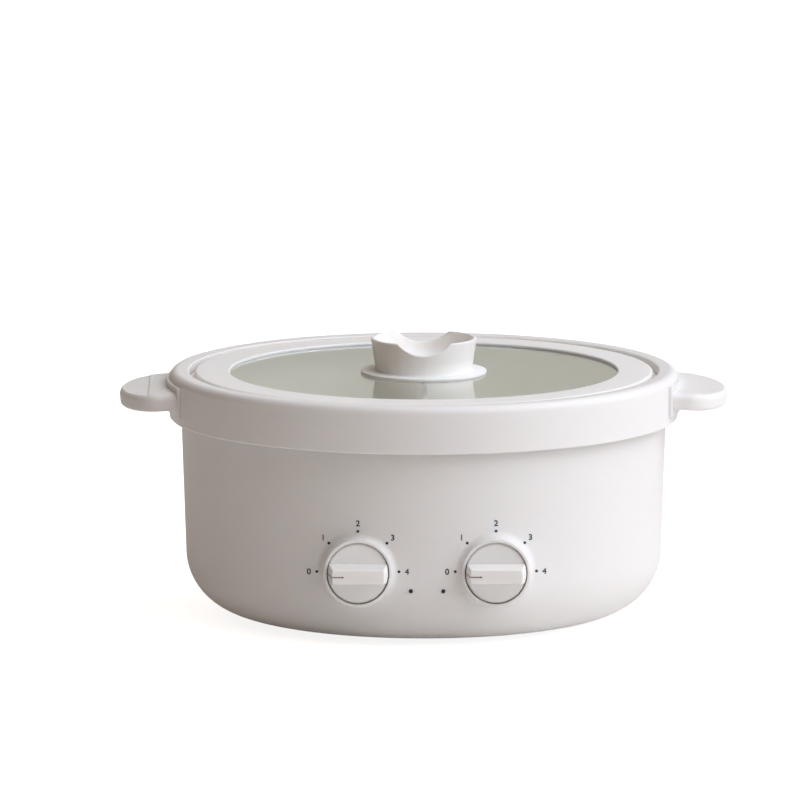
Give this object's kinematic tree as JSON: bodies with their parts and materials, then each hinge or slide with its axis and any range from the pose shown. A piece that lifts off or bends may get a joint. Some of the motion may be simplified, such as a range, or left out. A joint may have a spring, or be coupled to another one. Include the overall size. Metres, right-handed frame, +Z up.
{
  "type": "electric hot pot with lid",
  "caption": "Round two-zone electric hot pot: plastic housing with side handles, divided inner pot, two turning knobs and a lift-off glass lid.",
  "frame": {"origin": "on the table, at the centre of the pot's footprint", "axes": "+Z up along the pot's axis, +Y away from the cook so that the knobs face -Y, +X to the cook's right along the handles"},
  "size_m": [0.3838, 0.33, 0.1762],
  "materials": {
    "white_plastic": "satin",
    "ring_plastic": "satin",
    "pot_coating": "ceramic non-stick coating",
    "clear_glass": "tempered, clear",
    "seal_rubber": "matte silicone",
    "base_plastic": "matte",
    "inner_plastic": "matte",
    "cast_aluminium": "as cast",
    "tube_steel": "satin",
    "screw_steel": "zinc plated",
    "thermostat_shell": "satin",
    "contact_brass": "polished",
    "lamp_lens": "smoked"
  },
  "bodies": {
    "body": {"outer_housing": "white_plastic", "top_ring": "white_plastic", "handle_left": "white_plastic", "handle_right": "white_plastic", "handle_screws": "screw_steel", "inner_pot": "pot_coating", "rim_gasket": "seal_rubber", "heating_tube_left": "tube_steel", "heating_tube_right": "tube_steel", "heating_plate_left": "cast_aluminium", "heating_plate_right": "cast_aluminium", "thermostat_left": "thermostat_shell", "thermostat_right": "thermostat_shell", "thermostat_straps": "tube_steel", "thermal_fuses": "tube_steel", "heat_shield": "tube_steel", "shield_posts": "tube_steel", "shield_screws": "screw_steel", "pot_pillars": "tube_steel", "pillar_screws": "screw_steel", "base_cover": "base_plastic", "cover_screws": "screw_steel", "feet": "seal_rubber", "switch_left": "inner_plastic", "switch_right": "inner_plastic", "switch_screws": "screw_steel", "indicator_lenses": "lamp_lens", "indicator_leds": "lamp_lens", "indicator_board": "inner_plastic", "power_inlet": "inner_plastic", "inlet_pins": "contact_brass", "inlet_screws": "screw_steel", "terminal_block": "inner_plastic"},
    "knob_left": {"knob_left": "white_plastic", "shaft_left": "tube_steel"},
    "knob_right": {"knob_right": "white_plastic", "shaft_right": "tube_steel"},
    "lid": {"lid_glass": "clear_glass", "lid_ring": "ring_plastic", "lid_knob": "white_plastic", "knob_seal": "seal_rubber", "lid_washer": "tube_steel", "lid_screw": "screw_steel"}
  },
  "joints": [
    {"name": "knob_left_turn", "type": "hinge", "parent": "body", "child": "knob_left", "pos_m": [-0.0427, -0.15351, 0.0513], "axis": [0, 1, 0], "range_deg": [0, 180]},
    {"name": "knob_right_turn", "type": "hinge", "parent": "body", "child": "knob_right", "pos_m": [0.0427, -0.15351, 0.0513], "axis": [0, 1, 0], "range_deg": [0, 180]},
    {"name": "lid_lift", "type": "slide", "parent": "body", "child": "lid", "axis": [0, 0, 1], "range_m": [0, 0.25]}
  ]
}
